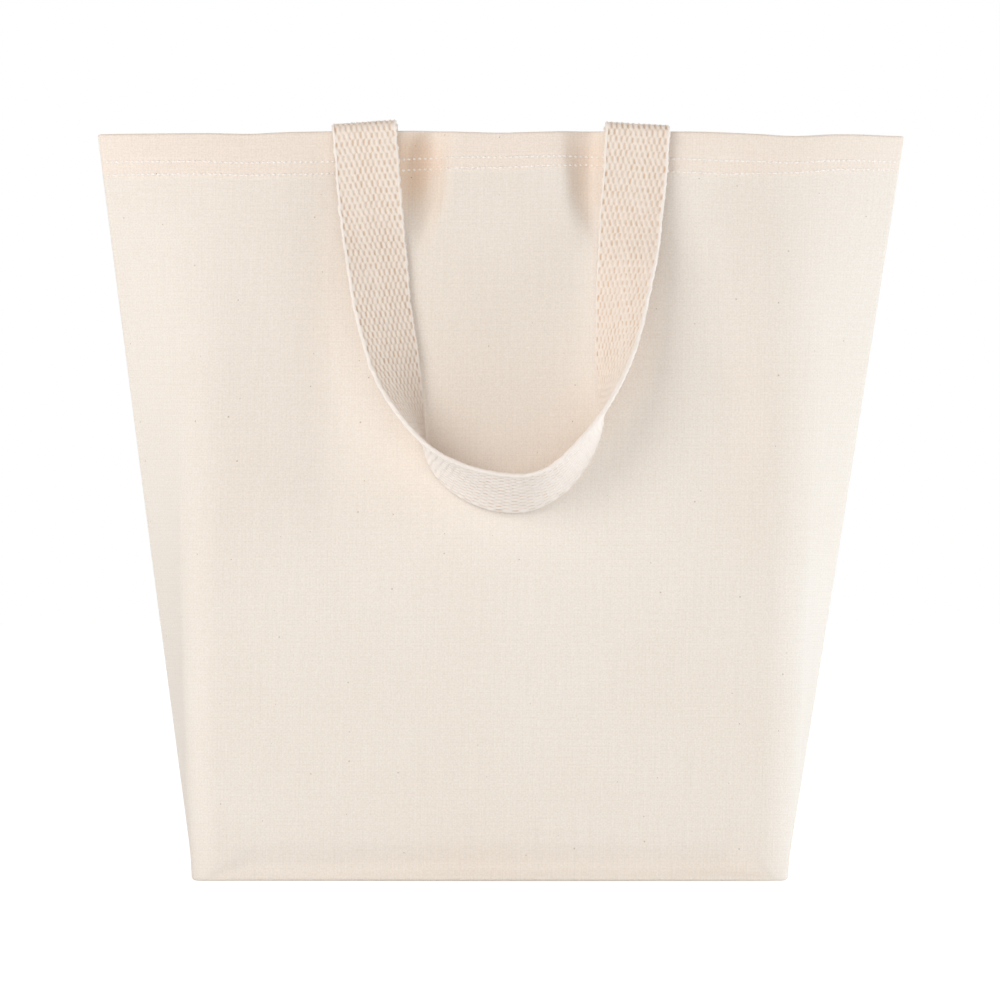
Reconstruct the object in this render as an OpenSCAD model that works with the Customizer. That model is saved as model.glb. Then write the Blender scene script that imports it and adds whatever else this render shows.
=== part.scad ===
// Canvas tote bag with boxed corners and two webbing handles.
// Origin: middle of the underside. +Z up, the front faces -Y, left is -X. Millimetres.

/* [Bag] */
// Width of the mouth, from side seam to side seam
mouth_w = 402; // [360:1:440]
// Depth of the mouth at the middle, front to back
mouth_d = 54; // [40:1:80]
// How squarely the mouth's edge curves: higher keeps it straighter between the handles
mouth_curve = 4; // [2:0.1:5]
// Width of the base
base_w = 296; // [250:1:340]
// Depth of the base, front to back
base_d = 110; // [90:1:140]
// Height of the bag, base to mouth
bag_h = 372; // [300:1:440]
// Radius of the base's four corners, seen from above
corner_r = 14; // [13:1:25]
// Radius of the soft fold between the base and the walls
fold_r = 7; // [4:0.5:12]
// How far the walls' fullness stands out at half height
belly = 3; // [0:0.5:8]

/* [Canvas] */
// Thickness of the canvas
canvas_t = 0.8; // [0.5:0.05:1.2]
// Width of the seam allowances inside the bag
seam_w = 10; // [6:0.5:15]
// Width of the hem around the mouth
hem_w = 21; // [20:0.5:30]
// Number of layers turned inside at the hem
hem_layers = 2; // [1:1:3]
// Gap between layers that lie on each other
layer_gap = 0.2; // [0.15:0.05:0.3]
// Gap where a wall bends away from the gussets and the base
bend_gap = 0.5; // [0.4:0.1:1]

/* [Handles] */
// Width of the webbing
strap_w = 32; // [25:1:40]
// Thickness of the webbing
strap_t = 1.8; // [1.2:0.1:2.2]
// Distance between the middles of a handle's two legs at the mouth
leg_spread = 136; // [110:1:160]
// How much closer the legs come together before the loop's round end
leg_lean = 9; // [0:1:15]
// Drop of the loop, from the mouth's edge to the middle of the webbing at its lowest point
loop_h = 180; // [160:1:220]
// Height of the loop's round end
round_h = 90; // [70:1:110]
// Turn of the webbing at the bottom of the loop, from lying flat
loop_twist = 126; // [90:1:135]
// Length of loop, each side of its lowest point, over which the webbing turns
twist_reach = 150; // [120:5:180]
// Inner radius where the handle turns over the mouth
turn_r = 3; // [2.5:0.1:4]
// Height of that turn's centre above the mouth
turn_rise = 1.2; // [1:0.1:3]
// Distance of that turn's centre in front of the hem's outer face
turn_ahead = 0.7; // [0.3:0.1:1.5]
// Gap between a hanging handle and the wall
strap_gap = 1.3; // [1.3:0.1:1.6]
// Length of the handle's sewn end below the mouth
end_l = 34; // [30:1:50]

/* [Stitching] */
// Width of a thread's line
thread_w = 0.5; // [0.3:0.1:0.8]
// Height of a thread's line above the cloth
thread_t = 0.3; // [0.2:0.05:0.4]
// Upper hem row, from the mouth's edge
upper_row = 12.5; // [8:0.5:13]
// Gap between the two hem rows
row_gap = 6.4; // [4.8:0.1:6.5]
// Handle stitching, in from the webbing's edges
box_inset = 4; // [3:0.5:6]
// Top of the handle stitching, from the mouth's edge
box_top = 7; // [6:0.5:10]

/* [Hidden] */

canvas_colour = [0.93, 0.88, 0.83];
web_colour = [0.93, 0.87, 0.80];
thread_colour = [0.95, 0.91, 0.84];

// One cloth panel laid flat is 2 x seam_s wide. s runs along it from its middle.
seam_s = base_w / 2 + base_d / 2;    // the side seam
wall_s = base_w / 2;                 // the bend between wall and gusset
straight_s = wall_s - corner_r;      // end of the straight front of the base
corner_s = wall_s + corner_r;        // end of the rounded corner
straight_steps = 16;
corner_steps = 3;
gusset_steps = 5;
wall_rows = 12;
fold_rows = 3;

hem_in = canvas_t + layer_gap;                    // depth of the hem's outer face
hem_out = hem_in + hem_layers * canvas_t;         // depth of its inner face
end_in = hem_out + layer_gap;                     // depth of a sewn end's outer face
end_out = end_in + strap_t;                       // depth of its inner face
wall_edge = wall_s - bend_gap / 2;                // edge of the wall beside the gusset
gusset_edge = wall_s + bend_gap / 2;              // edge of the gusset beside the wall
leg_x = leg_spread / 2;
leg_s = leg_x * seam_s / (mouth_w / 2);           // the legs' middle, along the cloth
turn_z = bag_h + turn_rise;
turn_y = front_y(leg_x, bag_h) + turn_ahead;      // distance of the turn's centre in front of the middle
turn_out = turn_r + strap_t / 2;                  // radius of the webbing's middle in the turn
curl = 20;                                        // part of the turn that stays on the handle, degrees
curl_steps = 2;
leg_steps = 9;
round_steps = 36;
t_step = 0.01;                                    // step along the loop that finds its direction
round_x = leg_x - leg_lean;                       // half the width of the loop's round end
round_z = bag_h - loop_h + round_h;         // height where the round end begins
corner_top = fold_r + seam_w;                     // top edge of a corner seam's allowance
seam_bottom = corner_top + thread_w + 2 * layer_gap;    // a side seam starts above it
seam_top = bag_h - hem_w - layer_gap;             // and ends under the hem
end_top = bag_h - turn_out;                       // a sewn end stops clear of the turning handle

function mix(a, b, t) = a + (b - a) * t;
function clamp01(t) = max(0, min(1, t));
function ease(t) = t * t * (3 - 2 * t);
function unit(v) = v / norm(v);
function steps(a, b, n) = [for (i = [0:n]) mix(a, b, i / n)];
function tail(list) = [for (i = [1:len(list) - 1]) list[i]];
function reversed(list) = [for (i = [len(list) - 1:-1:0]) list[i]];

// ---- the cloth's surface ----
// Plan of the base and of the mouth, at the distance a along the cloth from the middle.
function corner_turn(a) = 90 * clamp01((a - straight_s) / (2 * corner_r));
function base_at(a) =
    a < straight_s ? [a, -base_d / 2] :
    a > corner_s ? [base_w / 2, a - seam_s] :
    [straight_s + corner_r * sin(corner_turn(a)), -base_d / 2 + corner_r * (1 - cos(corner_turn(a)))];
function base_normal(a) = [sin(corner_turn(a)), -cos(corner_turn(a))];
function mouth_at(a) = [a / seam_s * mouth_w / 2, -mouth_d / 2 * (1 - pow(a / seam_s, mouth_curve))];
function mouth_normal(a) = unit([mouth_d / mouth_w * mouth_curve * pow(a / seam_s, mouth_curve - 1), -1]);

function normal_at(a, z) = unit(mix(base_normal(a), mouth_normal(a), z / bag_h));
function fold_inset(z) = z < fold_r ? fold_r - sqrt(fold_r * fold_r - (fold_r - z) * (fold_r - z)) : 0;
function fullness(a, z) = belly * sin(180 * z / bag_h) * (1 - pow(a / seam_s, 2)) - fold_inset(z);
function skin_xy(a, z) = mix(base_at(a), mouth_at(a), z / bag_h) + normal_at(a, z) * fullness(a, z);

// Sine and cosine of the skin's turn from upright to lying flat, in the fold at the base.
function fold_sin(z) = clamp01((fold_r - z) / fold_r);
function fold_cos(z) = sqrt(1 - fold_sin(z) * fold_sin(z));

// A layer under the skin meets the side seam a little sooner, by its depth over the seam's slope.
function seam_slope(z) = -normal_at(seam_s, z)[1] / normal_at(seam_s, z)[0];
function layer_a(a, z, depth) = a - max(depth, 0) * seam_slope(z) * clamp01((a - wall_s) / (seam_s - wall_s));
function layer_xy(a, z, depth) =
    let (b = layer_a(a, z, depth), across = depth * fold_cos(z))
    a == seam_s ? [skin_xy(a, z)[0] - across / normal_at(a, z)[0], 0] : skin_xy(b, z) - normal_at(b, z) * across;

// A point of the front cloth. Past the side seam, s goes on round to the back.
function cloth_at(s, z, depth) =
    let (a = s > seam_s ? 2 * seam_s - s : abs(s), p = layer_xy(a, z, depth))
    [s < 0 ? -p[0] : p[0], s > seam_s ? -p[1] : p[1], z + depth * fold_sin(z)];

// Front of the cloth in front of the straight part of the base, at x and z: its distance forward.
function front_y(x, z) = -skin_xy(abs(x) / mix(1, mouth_w / 2 / seam_s, z / bag_h), z)[1];

// ---- solids made from the surface ----
// A slab of cloth between two depths, over lists of s and z.
module slab(ss, zs, depth_a, depth_b) {
    n = len(ss);
    m = len(zs);
    points = [for (d = [depth_a, depth_b]) for (z = zs) for (s = ss) cloth_at(s, z, d)];
    function at(k, i, j) = k * n * m + j * n + i;
    faces = concat(
        [for (j = [0:m - 2]) for (i = [0:n - 2]) each
            [[at(0, i, j), at(0, i, j + 1), at(0, i + 1, j + 1)], [at(0, i, j), at(0, i + 1, j + 1), at(0, i + 1, j)]]],
        [for (j = [0:m - 2]) for (i = [0:n - 2]) each
            [[at(1, i, j), at(1, i + 1, j + 1), at(1, i, j + 1)], [at(1, i, j), at(1, i + 1, j), at(1, i + 1, j + 1)]]],
        [for (i = [0:n - 2]) each
            [[at(0, i, 0), at(0, i + 1, 0), at(1, i + 1, 0)], [at(0, i, 0), at(1, i + 1, 0), at(1, i, 0)]]],
        [for (i = [0:n - 2]) each
            [[at(0, i, m - 1), at(1, i + 1, m - 1), at(0, i + 1, m - 1)], [at(0, i, m - 1), at(1, i, m - 1), at(1, i + 1, m - 1)]]],
        [for (j = [0:m - 2]) each
            [[at(0, 0, j), at(1, 0, j + 1), at(0, 0, j + 1)], [at(0, 0, j), at(1, 0, j), at(1, 0, j + 1)]]],
        [for (j = [0:m - 2]) each
            [[at(0, n - 1, j), at(0, n - 1, j + 1), at(1, n - 1, j + 1)], [at(0, n - 1, j), at(1, n - 1, j + 1), at(1, n - 1, j)]]]
    );
    polyhedron(points, faces);
}

// A solid through four-cornered rings, closed at both ends.
module ringed(rings) {
    n = len(rings);
    points = [for (r = rings) each r];
    // The two wide faces are cut along the same diagonal, so a twisted solid keeps its thickness.
    sides = [for (k = [0:n - 2]) for (i = [0:3])
        let (a = 4 * k + i, b = 4 * k + (i + 1) % 4) each
            i < 2 ? [[a, b + 4, b], [a, a + 4, b + 4]] : [[a, a + 4, b], [b, a + 4, b + 4]]];
    last = 4 * (n - 1);
    polyhedron(points, concat(sides, [[0, 2, 3], [0, 1, 2]], [[last, last + 2, last + 1], [last, last + 3, last + 2]]));
}

// A line of thread from one point of the cloth to another, each [s, z], on the face at a depth.
module thread(from, to, depth_a, depth_b, n) {
    along = unit(to - from);
    across = [along[1], -along[0]] * thread_w / 2;
    ringed([for (k = [0:n])
        let (p = mix(from, to, k / n))
        [cloth_at(p[0] - across[0], p[1] - across[1], depth_a), cloth_at(p[0] + across[0], p[1] + across[1], depth_a),
         cloth_at(p[0] + across[0], p[1] + across[1], depth_b), cloth_at(p[0] - across[0], p[1] - across[1], depth_b)]]);
}

// ---- canvas ----
wall_columns = concat(
    steps(-wall_edge, -straight_s, corner_steps),
    tail(steps(-straight_s, straight_s, straight_steps)),
    tail(steps(straight_s, wall_edge, corner_steps)));
gusset_columns = concat(steps(gusset_edge, corner_s, corner_steps), tail(steps(corner_s, seam_s, gusset_steps)));
cloth_rows = concat(
    [for (k = [0:fold_rows]) fold_r * (1 - cos(90 * k / fold_rows))],
    tail(steps(fold_r, bag_h, wall_rows)));
hem_rows = [bag_h - hem_w, bag_h];

module panel() {
    color(canvas_colour) slab(wall_columns, cloth_rows, 0, canvas_t);
}

module gusset() {
    color(canvas_colour) slab(gusset_columns, cloth_rows, 0, canvas_t);
}

module base_half() {
    columns = concat(-reversed(gusset_columns), wall_columns, gusset_columns);
    function edge(a) = skin_xy(a, 0) - base_normal(a) * bend_gap;
    color(canvas_colour)
        linear_extrude(canvas_t)
            polygon([for (s = columns) let (p = edge(abs(s))) [side_of(s) * p[0], p[1]]]);
}

module hem() {
    color(canvas_colour) slab(wall_columns, hem_rows, hem_in, hem_out);
}

module side_hem() {
    round_the_seam = concat(gusset_columns, [for (s = tail(reversed(gusset_columns))) 2 * seam_s - s]);
    color(canvas_colour) slab(round_the_seam, hem_rows, hem_in, hem_out);
}

// ---- seam allowances inside the bag ----
function seam_x(z) =
    cloth_at(seam_s, z, canvas_t)[0] - (canvas_t + layer_gap) * seam_slope(z) - layer_gap;

module upright_strip(start, width, half_t) {
    ringed([for (z = steps(seam_bottom, seam_top, wall_rows))
        let (x = seam_x(z) - start)
        [[x - width, -half_t, z], [x, -half_t, z], [x, half_t, z], [x - width, half_t, z]]]);
}

module side_seam() {
    color(canvas_colour) upright_strip(0, seam_w, canvas_t);
}

module side_overlock() {
    color(thread_colour) upright_strip(seam_w + layer_gap / 2, thread_w, canvas_t + thread_t / 2);
}

corner_reach = base_d / 2 - corner_r;
corner_columns = steps(seam_s - corner_reach, seam_s + corner_reach, 2 * gusset_steps);

module corner_seam() {
    color(canvas_colour) slab(corner_columns, [fold_r, corner_top], hem_in, hem_in + 2 * canvas_t);
}

module corner_overlock() {
    low = corner_top + layer_gap / 2;
    color(thread_colour) slab(corner_columns, [low, low + thread_w], hem_in, hem_in + 2 * canvas_t + thread_t / 2);
}

bottom_l = base_w - 2 * fold_r;

module bottom_seam() {
    color(canvas_colour)
        translate([-bottom_l / 2, 0, canvas_t + layer_gap / 2])
            cube([bottom_l, seam_w, 2 * canvas_t]);
}

module bottom_overlock() {
    color(thread_colour)
        translate([-bottom_l / 2, seam_w + layer_gap / 2, canvas_t + layer_gap / 2])
            cube([bottom_l, thread_w, 2 * canvas_t + thread_t / 2]);
}

// ---- hem stitching ----
on_cloth = -layer_gap;    // depth of a thread's underside on the outside of the cloth

module hem_row(z) {
    color(thread_colour)
        thread([-wall_edge, z], [wall_edge, z], on_cloth - thread_t, on_cloth, straight_steps + 2 * corner_steps);
}

module upper_hem_row() {
    hem_row(bag_h - upper_row);
}

module lower_hem_row() {
    hem_row(bag_h - upper_row - row_gap);
}

module side_hem_rows() {
    color(thread_colour)
        for (z = [bag_h - upper_row, bag_h - upper_row - row_gap])
            for (back = [0, 1])
                mirror([0, back, 0])
                    thread([gusset_edge, z], [seam_s - thread_w, z], on_cloth - thread_t, on_cloth, 2 * gusset_steps);
}

// ---- handles ----
// The middle of the webbing at t along the loop: from the left turn, t = -1, to the right one, t = 1.
// Each leg eases in towards the round end, which is half an ellipse.
leg_share = (turn_z - round_z) / (turn_z - round_z + (round_x + round_h) * PI / 4);
function leg_t(t) = clamp01((abs(t) - 1 + leg_share) / leg_share);
function round_angle(t) = 90 * clamp01(abs(t) / (1 - leg_share));
function side_of(t) = t < 0 ? -1 : 1;
function loop_x(t) = side_of(t) * (abs(t) > 1 - leg_share ? round_x + leg_lean * ease(leg_t(t)) : round_x * sin(round_angle(t)));
function loop_z(t) = abs(t) > 1 - leg_share ? mix(round_z, turn_z, leg_t(t)) : round_z - round_h * cos(round_angle(t));
function loop_way(t) = [loop_x(t + t_step) - loop_x(t - t_step), 0, loop_z(t + t_step) - loop_z(t - t_step)];
function turned(t) =
    let (d = abs(t) * (turn_z - round_z) / leg_share)
    d < twist_reach ? loop_twist / 2 * (1 + cos(180 * d / twist_reach)) : 0;

// Direction across the webbing, towards its outer edge: flat against the wall on the legs.
function across(t) =
    let (w = unit(loop_way(t)))
    [w[2] * cos(turned(t)), -sin(turned(t)), -w[0] * cos(turned(t))];
function edge_room(t, e) =
    let (a = across(t) * strap_w / 2 * e)
    front_y(loop_x(t) + a[0], min(loop_z(t) + a[2], bag_h)) + a[1];
function loop_y(t) = -max(turn_y + turn_out, max(edge_room(t, 1), edge_room(t, -1), edge_room(t, 0)) + strap_gap + strap_t / 2);
function loop_at(t) = [loop_x(t), loop_y(t), loop_z(t)];

function web_ring(p, w, n) =
    let (a = w * strap_w / 2, b = n * strap_t / 2)
    [p - a - b, p + a - b, p + a + b, p - a + b];
function loop_ring(t) =
    let (w = across(t), way = unit(loop_at(min(t + t_step, 1)) - loop_at(max(t - t_step, -1))), n = unit(cross(way, w)))
    web_ring(loop_at(t), w, n);
function curl_ring(side, angle) =
    web_ring([side * leg_x, -turn_y - turn_out * cos(angle), turn_z + turn_out * sin(angle)],
        [side, 0, 0], [0, cos(angle), -sin(angle)]);

module handle() {
    legs = steps(1 - leg_share, 1, leg_steps);
    ts = concat(-reversed(legs), tail(steps(-1 + leg_share, 1 - leg_share, round_steps)), tail(legs));
    color(web_colour)
        ringed(concat(
            [for (a = steps(curl, curl / curl_steps, curl_steps - 1)) curl_ring(-1, a)],
            [for (t = ts) loop_ring(t)],
            [for (a = steps(curl / curl_steps, curl, curl_steps - 1)) curl_ring(1, a)]));
}

module handle_end(side) {
    ss = [side * leg_s - strap_w / 2, side * leg_s, side * leg_s + strap_w / 2];
    color(web_colour) slab(ss, [bag_h - end_l, end_top], end_in, end_out);
}

// A stitched box with a cross in it, through the sewn end: on the cloth outside, over the hem's
// rows, and on the webbing inside.
box_out = on_cloth - thread_t - layer_gap / 2;
box_in = end_out + layer_gap / 2;
box_faces = [[box_out - thread_t, box_out], [box_in, box_in + thread_t]];

module handle_stitch(side) {
    left = side * leg_s - strap_w / 2 + box_inset;
    right = side * leg_s + strap_w / 2 - box_inset;
    low = bag_h - end_l + box_inset;
    high = bag_h - box_top;
    middle = [side * leg_s, (low + high) / 2];
    clear = unit([right - left, low - high]) * 2 * thread_w;
    color(thread_colour)
        for (face = box_faces) {
            thread([left, high], [right, high], face[0], face[1], 2);
            thread([left, low], [right, low], face[0], face[1], 2);
            for (x = [left, right])
                thread([x, low + thread_w], [x, high - thread_w], face[0], face[1], 2);
            thread([left, low] + [1, 1] * 2 * thread_w, [right, high] - [1, 1] * 2 * thread_w, face[0], face[1], 2);
            thread([left, high] + clear, middle - clear, face[0], face[1], 1);
            thread(middle + clear, [right, low] - clear, face[0], face[1], 1);
        }
}

// ---- placing ----
module at_back() {
    rotate([0, 0, 180]) children();
}

module at_left() {
    mirror([1, 0, 0]) children();
}

panel();  // front_panel
at_back() panel();  // back_panel
base_half();  // front_base
at_back() base_half();  // back_base
at_left() gusset();  // left_front_gusset
gusset();  // right_front_gusset
at_back() gusset();  // left_back_gusset
at_back() at_left() gusset();  // right_back_gusset
at_left() side_seam();  // left_side_seam
side_seam();  // right_side_seam
at_left() side_overlock();  // left_side_overlock
side_overlock();  // right_side_overlock
bottom_seam();
bottom_overlock();
at_left() corner_seam();  // left_corner_seam
corner_seam();  // right_corner_seam
at_left() corner_overlock();  // left_corner_overlock
corner_overlock();  // right_corner_overlock
hem();  // front_hem
at_back() hem();  // back_hem
at_left() side_hem();  // left_hem
side_hem();  // right_hem
upper_hem_row();  // front_hem_upper_stitch
lower_hem_row();  // front_hem_lower_stitch
at_back() upper_hem_row();  // back_hem_upper_stitch
at_back() lower_hem_row();  // back_hem_lower_stitch
at_left() side_hem_rows();  // left_hem_stitch
side_hem_rows();  // right_hem_stitch
handle();  // front_handle
at_back() handle();  // back_handle
handle_end(-1);  // front_handle_left_end
handle_end(1);  // front_handle_right_end
at_back() handle_end(1);  // back_handle_left_end
at_back() handle_end(-1);  // back_handle_right_end
handle_stitch(-1);  // front_handle_left_stitch
handle_stitch(1);  // front_handle_right_stitch
at_back() handle_stitch(1);  // back_handle_left_stitch
at_back() handle_stitch(-1);  // back_handle_right_stitch
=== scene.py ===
import math
import bpy
import numpy as np
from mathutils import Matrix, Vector


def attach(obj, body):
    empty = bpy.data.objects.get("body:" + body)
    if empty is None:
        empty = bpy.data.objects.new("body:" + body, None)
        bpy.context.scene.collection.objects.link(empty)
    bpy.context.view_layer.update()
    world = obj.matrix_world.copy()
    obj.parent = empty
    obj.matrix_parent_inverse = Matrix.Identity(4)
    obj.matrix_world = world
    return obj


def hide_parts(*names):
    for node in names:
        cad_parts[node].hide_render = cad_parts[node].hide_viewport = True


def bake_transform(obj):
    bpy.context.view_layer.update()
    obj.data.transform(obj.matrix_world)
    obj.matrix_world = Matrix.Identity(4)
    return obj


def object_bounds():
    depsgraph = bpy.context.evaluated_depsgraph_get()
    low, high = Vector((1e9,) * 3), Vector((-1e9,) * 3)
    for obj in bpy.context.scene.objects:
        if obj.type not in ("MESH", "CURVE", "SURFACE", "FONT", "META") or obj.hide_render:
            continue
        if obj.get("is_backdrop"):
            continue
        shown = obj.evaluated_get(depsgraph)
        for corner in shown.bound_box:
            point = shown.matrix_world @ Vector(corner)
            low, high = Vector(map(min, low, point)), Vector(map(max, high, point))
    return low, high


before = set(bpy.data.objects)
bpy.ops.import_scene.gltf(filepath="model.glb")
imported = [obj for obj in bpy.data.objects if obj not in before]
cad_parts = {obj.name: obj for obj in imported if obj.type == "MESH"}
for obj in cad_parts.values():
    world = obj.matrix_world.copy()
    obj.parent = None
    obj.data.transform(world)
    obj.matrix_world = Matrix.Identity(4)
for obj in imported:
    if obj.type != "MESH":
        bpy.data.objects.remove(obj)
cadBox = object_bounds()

# A canvas tote bag: two panels of cloth sewn round a boxed base, and two webbing handles.
# Metres; the front faces -Y and the left is -X, as in the CAD.

mm = 0.001
tenth = 0.0001

# Camera

cameraValues = {"distance": 6.0, "height": 0.1889, "side": -0.0005, "fieldWide": 0.500, "sensor": 36}

scene = bpy.context.scene
cameraData = bpy.data.cameras.new("camera")
camera = bpy.data.objects.new("camera", cameraData)
scene.collection.objects.link(camera)
camera.location = (cameraValues["side"], -cameraValues["distance"], cameraValues["height"])
camera.rotation_euler = (math.radians(90), 0, 0)
cameraData.sensor_width = cameraValues["sensor"]
cameraData.lens = cameraValues["sensor"] * cameraValues["distance"] / cameraValues["fieldWide"]
cameraData.clip_end = 60
scene.camera = camera
print("camera ready")


# Shader sums, written as plain expressions

class Wire:
    def __init__(self, tree, socket=None):
        self.tree = tree
        self.socket = socket

    # Any node: its kind, its settings, the values or links of its sockets, and which output is wanted
    def node(self, kind, settings=None, inputs=None, output=0):
        made = self.tree.nodes.new("ShaderNode" + kind)
        for name, value in (settings or {}).items():
            setattr(made, name, value)
        for name, value in (inputs or {}).items():
            if isinstance(value, Wire):
                self.tree.links.new(value.socket, made.inputs[name])
            else:
                made.inputs[name].default_value = value
        return Wire(self.tree, made.outputs[output])

    def sum(self, operation, *others):
        return self.node("Math", {"operation": operation}, dict(enumerate((self, *others))))

    def __add__(self, other):
        return self.sum("ADD", other)

    def __sub__(self, other):
        return self.sum("SUBTRACT", other)

    def __rsub__(self, other):
        return self.node("Math", {"operation": "SUBTRACT"}, {0: other, 1: self})

    def __mul__(self, other):
        return self.sum("MULTIPLY", other)

    def __truediv__(self, other):
        return self.sum("DIVIDE", other)

    __radd__ = __add__
    __rmul__ = __mul__

    def ramp(self, low, high):  # 0 below low, 1 above high, smooth between
        return self.node("MapRange", {"interpolation_type": "SMOOTHSTEP"},
                         {0: self, 1: low, 2: high, 3: 0.0, 4: 1.0})

    def mixed(self, first, second):  # colours, with this value as the share of the second
        return self.node("Mix", {"data_type": "RGBA"}, {0: self, 6: first, 7: second}, 2)

    def shaded(self, colour):  # a colour made lighter or darker by this value
        grey = self.node("CombineColor", None, {0: self, 1: self, 2: self})
        return self.node("Mix", {"data_type": "RGBA", "blend_type": "MULTIPLY"},
                         {0: 1.0, 6: colour, 7: grey}, 2)


def linear(red, green, blue):  # a screen colour, 0 to 255, as the renderer's colour
    channels = [c / 255 for c in (red, green, blue)]
    return (*[c / 12.92 if c < 0.04045 else ((c + 0.055) / 1.055) ** 2.4 for c in channels], 1.0)


def newMaterial(name):
    material = bpy.data.materials.new(name)
    material.use_nodes = True
    shader = next(n for n in material.node_tree.nodes if n.type == "BSDF_PRINCIPLED")
    return material, shader, Wire(material.node_tree)


def otherOutput(wire, name):
    return Wire(wire.tree, wire.socket.node.outputs[name])


def uvPlace(start, uvName):  # the place on the cloth, and its two parts
    place = start.node("UVMap", {"uv_map": uvName})
    apart = start.node("SeparateXYZ", None, {0: place})
    return place, otherOutput(apart, 0), otherOutput(apart, 1)


def painted(start, name):  # a value stored on the piece's points
    return start.node("Attribute", {"attribute_name": name}, None, "Fac")


def noise(x, y, detail, roughness):
    spot = x.node("CombineXYZ", None, {0: x, 1: y, 2: 0.0})
    return x.node("TexNoise", {"noise_dimensions": "2D"},
                  {"Vector": spot, "Scale": 1.0, "Detail": detail, "Roughness": roughness})


def weighted(total, weights, wires):
    for weight, wire in zip(weights, wires):
        total = total + weight * wire
    return total


def setSurface(shader, values, colour, roughness, height):
    bump = height.node("Bump", None,
                       {"Strength": values["bump"], "Distance": values["bumpDeep"], "Height": height})
    for socket, wire in (("Base Color", colour), ("Roughness", roughness), ("Normal", bump)):
        wire.tree.links.new(wire.socket, shader.inputs[socket])
    shader.inputs["Specular IOR Level"].default_value = values["gloss"]
    shader.inputs["Sheen Weight"].default_value = values["sheen"]


# Floor, background and lamps

studio = {
    "floorSize": 24.0, "floorHigh": -0.0004, "floorColour": linear(240, 240, 240), "white": (1, 1, 1, 1),
    # the floor as the camera sees it: the glow's share and its strength
    "glow": 0.93, "glowStrength": 1.14,
    # the floor as it lights the bag: less beside the bag and far away
    "bounce": 0.80, "bounceStrength": 0.95, "bounceColour": (0.88, 0.95, 1.0, 1),
    "bounceNear": (0.02, 0.16), "bounceFar": (0.35, 1.6), "bounceOval": (0.45, 1, 1),
    "ambient": (1.0, 0.95, 0.90, 1), "ambientStrength": 0.25,
}

bpy.ops.mesh.primitive_plane_add(size=studio["floorSize"], location=(0, 0, studio["floorHigh"]))
floor = bpy.context.object
floor.name = "floor"
floorMaterial, shader, start = newMaterial("paleFloor")
shader.inputs["Base Color"].default_value = studio["floorColour"]
shader.inputs["Roughness"].default_value = 0.9
shader.inputs["Specular IOR Level"].default_value = 0.1


def seenRays(start):  # 1 for what the camera sees, also through or mirrored in something
    rays = [start.node("LightPath", None, None, "Is " + kind + " Ray")
            for kind in ("Camera", "Glossy", "Transmission")]
    return (rays[0] + rays[1] + rays[2]).sum("MINIMUM", 1.0)


seen = seenRays(start)
strength = seen * studio["glowStrength"] + (1 - seen) * studio["bounceStrength"]
glowColour = seen.mixed(studio["bounceColour"], studio["white"])
glow = start.node("Emission", None, {"Color": glowColour, "Strength": strength})
spot = start.node("TexCoord", None, None, "Object")
away = start.node("VectorMath", {"operation": "MULTIPLY"}, {0: spot, 1: studio["bounceOval"]})
away = start.node("VectorMath", {"operation": "LENGTH"}, {0: away}, "Value")
bounce = studio["bounce"] * away.ramp(*studio["bounceNear"])
bounce = bounce * (1 - away.ramp(*studio["bounceFar"]))
share = bounce + (studio["glow"] - bounce) * seen
mixedFloor = start.node("MixShader", None, {0: share, 1: Wire(start.tree, shader.outputs[0]), 2: glow})
start.tree.links.new(mixedFloor.socket, start.tree.nodes["Material Output"].inputs["Surface"])
floor.data.materials.append(floorMaterial)
floor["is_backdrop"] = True

world = bpy.data.worlds.new("studio")
scene.world = world
world.use_nodes = True
world.node_tree.nodes.clear()
start = Wire(world.node_tree)
backdrop = start.node("Background", None, {"Color": studio["white"], "Strength": 1.0})
ambient = start.node("Background", None,
                     {"Color": studio["ambient"], "Strength": studio["ambientStrength"]})
both = start.node("MixShader", None, {0: seenRays(start), 1: ambient, 2: backdrop})
output = start.tree.nodes.new("ShaderNodeOutputWorld")
start.tree.links.new(both.socket, output.inputs["Surface"])

lamps = {  # place, what it faces, width, height, watts, colour
    "keyLamp": ((-2.45, -2.78, 1.75), (0, 0, 0.20), 2.4, 2.4, 72, (1.0, 0.990, 0.975)),
    "leftLamp": ((-2.40, 0.00, 0.30), (0, 0, 0.20), 1.2, 1.2, 5, (0.84, 0.93, 1.0)),
    "rightLamp": ((2.40, -0.05, 0.35), (0, 0, 0.20), 1.2, 1.2, 42, (0.86, 0.94, 1.0)),
    "frontLamp": ((0.35, -3.2, 0.6), (0, 0, 0.15), 2.6, 1.2, 18, (1.0, 0.99, 0.98)),
    "backLamp": ((0, 2.6, 2.2), (0, 0, 0.2), 2.2, 1.6, 48, (1.0, 0.97, 0.94)),
}
for lampName, (place, target, width, height, watts, colour) in lamps.items():
    lampData = bpy.data.lights.new(lampName, "AREA")
    lampData.shape = "RECTANGLE"
    lampData.size = width
    lampData.size_y = height
    lampData.energy = watts
    lampData.color = colour
    lamp = bpy.data.objects.new(lampName, lampData)
    scene.collection.objects.link(lamp)
    lamp.location = place
    lamp.rotation_euler = (Vector(target) - Vector(place)).to_track_quat("-Z", "Y").to_euler()
scene.view_settings.view_transform = "Standard"
print("studio ready")


# Materials

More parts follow.
